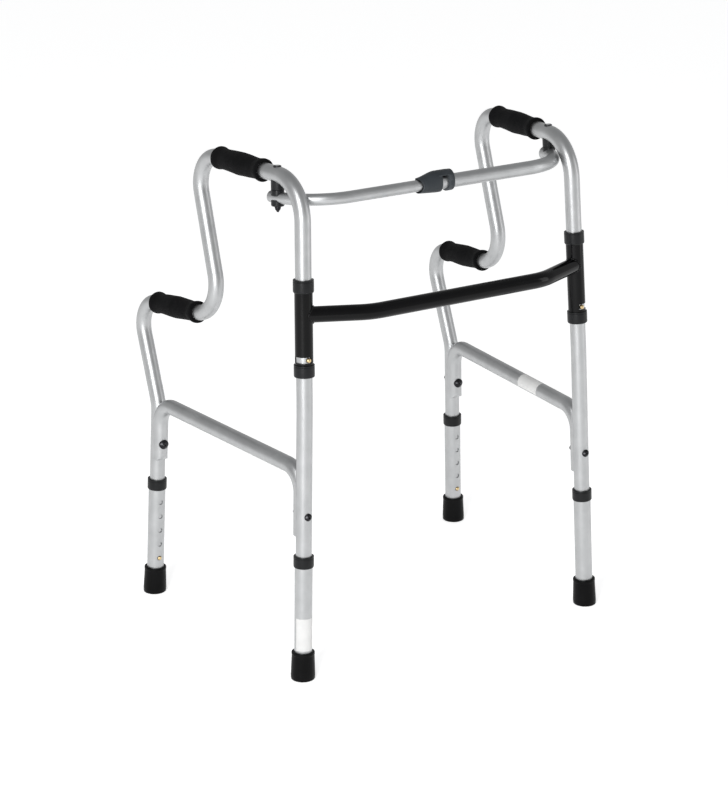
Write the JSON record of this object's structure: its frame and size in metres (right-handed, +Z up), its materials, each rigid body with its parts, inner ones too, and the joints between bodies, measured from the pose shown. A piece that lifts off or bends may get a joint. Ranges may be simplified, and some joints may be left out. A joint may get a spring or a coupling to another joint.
{
  "type": "walking frame",
  "caption": "Folding two-level aluminium walking frame with foam grips, telescopic upper bar, steel lower crossbar and push-button adjustable legs.",
  "frame": {"origin": "centre of the footprint box, on the floor under the feet", "axes": "+Z up, the user stands inside facing -Y, the front crossbars are at -Y, +X is to the right seen from the front"},
  "size_m": [0.66, 0.5256, 0.8171],
  "materials": {
    "aluminium": "satin anodised",
    "black_paint": "gloss",
    "black_plastic": "semi-matt",
    "charcoal_plastic": "semi-matt",
    "foam": "matt closed-cell foam",
    "rubber": "matt",
    "brass": "polished",
    "spring_steel": "bright",
    "black_steel": "black oxide"
  },
  "bodies": {
    "cross_frame": {"lower_crossbar": "black_paint", "left_sleeve": "black_paint", "left_sleeve_cap": "black_plastic", "left_sleeve_cup": "black_plastic", "right_sleeve": "black_paint", "right_sleeve_cap": "black_plastic", "right_sleeve_cup": "black_plastic"},
    "left_side_frame": {"left_frame_tube": "aluminium", "left_brace": "aluminium", "left_front_brace_bolt": "black_steel", "left_front_brace_nut": "black_steel", "left_rear_brace_bolt": "black_steel", "left_rear_brace_nut": "black_steel", "left_upper_grip": "foam", "left_lower_grip": "foam", "left_front_leg_spring": "spring_steel", "left_rear_leg_spring": "spring_steel", "left_sleeve_spring": "spring_steel", "left_pivot_bolt": "black_steel", "left_pivot_nut": "black_steel"},
    "left_bar_half": {"left_bar_tube": "aluminium", "left_upper_spacer": "black_plastic", "left_lower_spacer": "black_plastic", "lock_spring": "spring_steel"},
    "left_front_leg": {"left_front_extension": "aluminium", "left_front_collar": "black_plastic", "left_front_foot": "rubber"},
    "left_front_leg_button": {"left_front_leg_button": "brass"},
    "left_rear_leg": {"left_rear_extension": "aluminium", "left_rear_collar": "black_plastic", "left_rear_foot": "rubber"},
    "left_rear_leg_button": {"left_rear_leg_button": "brass"},
    "left_sleeve_button": {"left_sleeve_button": "brass"},
    "right_side_frame": {"right_frame_tube": "aluminium", "right_brace": "aluminium", "right_front_brace_bolt": "black_steel", "right_front_brace_nut": "black_steel", "right_rear_brace_bolt": "black_steel", "right_rear_brace_nut": "black_steel", "right_upper_grip": "foam", "right_lower_grip": "foam", "right_front_leg_spring": "spring_steel", "right_rear_leg_spring": "spring_steel", "right_sleeve_spring": "spring_steel", "right_pivot_bolt": "black_steel", "right_pivot_nut": "black_steel"},
    "right_bar_half": {"right_bar_tube": "aluminium", "right_upper_spacer": "black_plastic", "right_lower_spacer": "black_plastic", "lock_cover": "charcoal_plastic"},
    "right_front_leg": {"right_front_extension": "aluminium", "right_front_collar": "black_plastic", "right_front_foot": "rubber"},
    "right_front_leg_button": {"right_front_leg_button": "brass"},
    "right_rear_leg": {"right_rear_extension": "aluminium", "right_rear_collar": "black_plastic", "right_rear_foot": "rubber"},
    "right_rear_leg_button": {"right_rear_leg_button": "brass"},
    "right_sleeve_button": {"right_sleeve_button": "brass"},
    "lock_button": {"lock_button": "brass"}
  },
  "joints": [
    {"name": "fold_left", "type": "hinge", "parent": "cross_frame", "child": "left_side_frame", "pos_m": [-0.25995, -0.2092, 0.57], "axis": [-0.0337, -0.0607, -0.9976], "range_deg": [0, 36], "deforming": ["lock_button"]},
    {"name": "fold_right", "type": "hinge", "parent": "cross_frame", "child": "right_side_frame", "pos_m": [0.25995, -0.2092, 0.57], "axis": [-0.0337, 0.0607, 0.9976], "range_deg": [0, 36]},
    {"name": "bar_left_pivot", "type": "hinge", "parent": "left_side_frame", "child": "left_bar_half", "pos_m": [-0.25799, -0.1315, 0.7635], "axis": [0.0337, 0.0607, 0.9976], "range_deg": [0, 36]},
    {"name": "bar_right_pivot", "type": "hinge", "parent": "right_side_frame", "child": "right_bar_half", "pos_m": [0.25799, -0.1315, 0.7635], "axis": [0.0337, -0.0607, -0.9976], "range_deg": [0, 36]},
    {"name": "left_front_leg_height", "type": "slide", "parent": "left_side_frame", "child": "left_front_leg", "axis": [-0.0356, -0.0333, -0.9988], "range_m": [0, 0.1016], "deforming": ["left_front_leg_button"]},
    {"name": "left_front_leg_button_press", "type": "slide", "parent": "left_side_frame", "child": "left_front_leg_button", "axis": [0.0012, -0.9994, 0.0333], "range_m": [0, 0.005], "stiffness_N_per_m": 800, "deforming": ["left_front_leg_spring"]},
    {"name": "left_rear_leg_height", "type": "slide", "parent": "left_side_frame", "child": "left_rear_leg", "axis": [-0.0395, 0.022, -0.999], "range_m": [0, 0.1016], "deforming": ["left_rear_leg_button"]},
    {"name": "left_rear_leg_button_press", "type": "slide", "parent": "left_side_frame", "child": "left_rear_leg_button", "axis": [0.0009, 0.9998, 0.022], "range_m": [0, 0.005], "stiffness_N_per_m": 800, "deforming": ["left_rear_leg_spring"]},
    {"name": "left_sleeve_button_press", "type": "slide", "parent": "left_side_frame", "child": "left_sleeve_button", "axis": [-0.002, 0.9982, -0.0606], "range_m": [0, 0.005], "stiffness_N_per_m": 800, "deforming": ["left_sleeve_spring"]},
    {"name": "right_front_leg_height", "type": "slide", "parent": "right_side_frame", "child": "right_front_leg", "axis": [0.0356, -0.0333, -0.9988], "range_m": [0, 0.1016], "deforming": ["right_front_leg_button"]},
    {"name": "right_front_leg_button_press", "type": "slide", "parent": "right_side_frame", "child": "right_front_leg_button", "axis": [-0.0012, -0.9994, 0.0333], "range_m": [0, 0.005], "stiffness_N_per_m": 800, "deforming": ["right_front_leg_spring"]},
    {"name": "right_rear_leg_height", "type": "slide", "parent": "right_side_frame", "child": "right_rear_leg", "axis": [0.0395, 0.022, -0.999], "range_m": [0, 0.1016], "deforming": ["right_rear_leg_button"]},
    {"name": "right_rear_leg_button_press", "type": "slide", "parent": "right_side_frame", "child": "right_rear_leg_button", "axis": [-0.0009, 0.9998, 0.022], "range_m": [0, 0.005], "stiffness_N_per_m": 800, "deforming": ["right_rear_leg_spring"]},
    {"name": "right_sleeve_button_press", "type": "slide", "parent": "right_side_frame", "child": "right_sleeve_button", "axis": [0.002, 0.9982, -0.0606], "range_m": [0, 0.005], "stiffness_N_per_m": 800, "deforming": ["right_sleeve_spring"]},
    {"name": "lock_button_press", "type": "slide", "parent": "left_bar_half", "child": "lock_button", "axis": [0, 0, -1], "range_m": [0, 0.004], "stiffness_N_per_m": 800, "deforming": ["lock_spring"]}
  ],
  "couplings": [
    {"joint": "fold_right", "follows": "fold_left", "ratio": 1},
    {"joint": "bar_left_pivot", "follows": "fold_left", "ratio": 1},
    {"joint": "bar_right_pivot", "follows": "fold_left", "ratio": 1}
  ]
}
